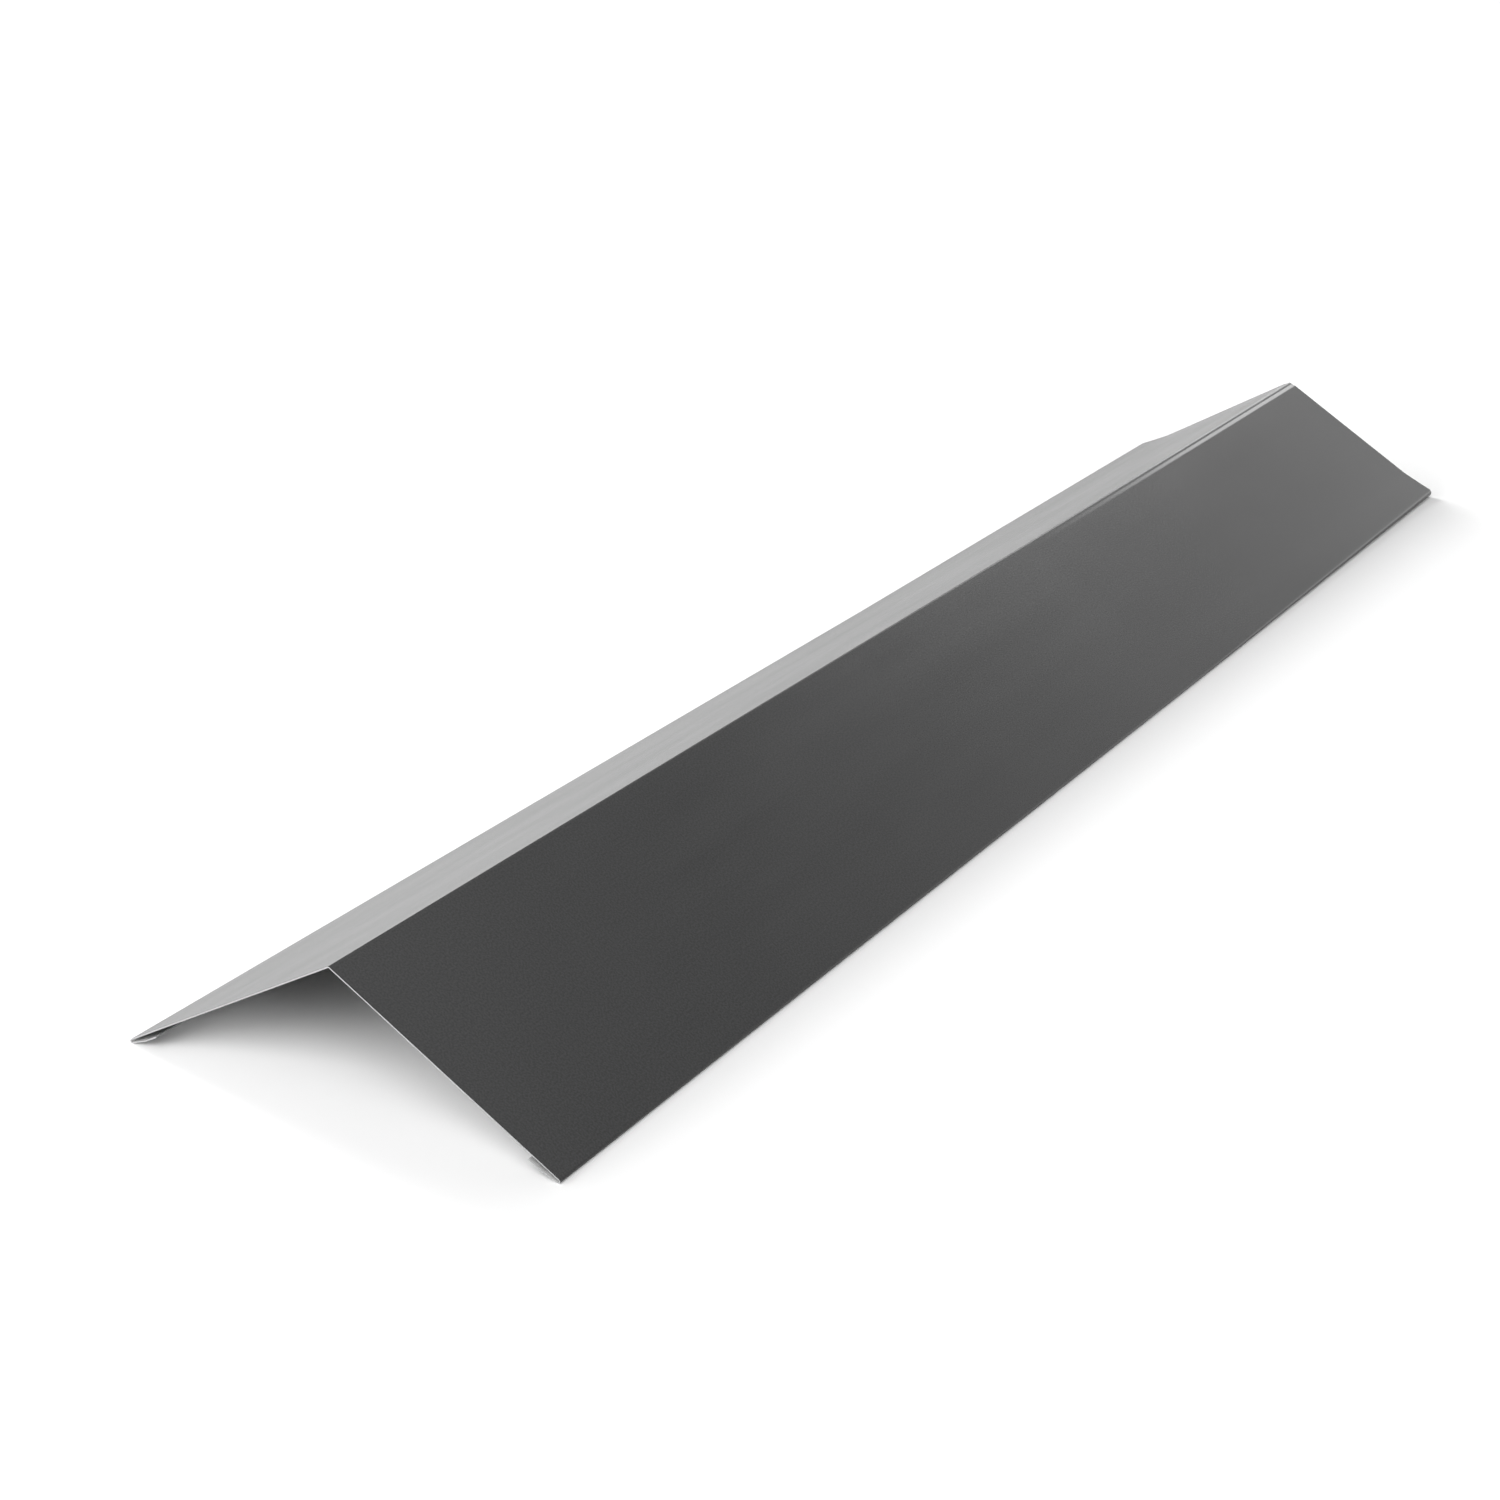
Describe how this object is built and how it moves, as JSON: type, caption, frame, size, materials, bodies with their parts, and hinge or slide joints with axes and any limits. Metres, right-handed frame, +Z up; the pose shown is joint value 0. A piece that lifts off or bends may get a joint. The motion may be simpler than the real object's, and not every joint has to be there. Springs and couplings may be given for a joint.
{
  "type": "roof ridge cap",
  "caption": "Folded sheet-metal roof ridge cap: a shallow upturned V with an open hem along each eave, slightly opened at its lap end.",
  "frame": {"origin": "on the floor under the middle of the crest, level with the lowest line of the hems", "axes": "+Y along the crest towards the lap end, +X across the roof to the right when looking along +Y, +Z up"},
  "size_m": [0.2036, 1, 0.0614],
  "materials": {
    "coated_sheet": "dark grey coil coating, semi-matt, with a light grey back coat"
  },
  "bodies": {
    "root": {"ridge_cap": "coated_sheet"}
  },
  "joints": []
}
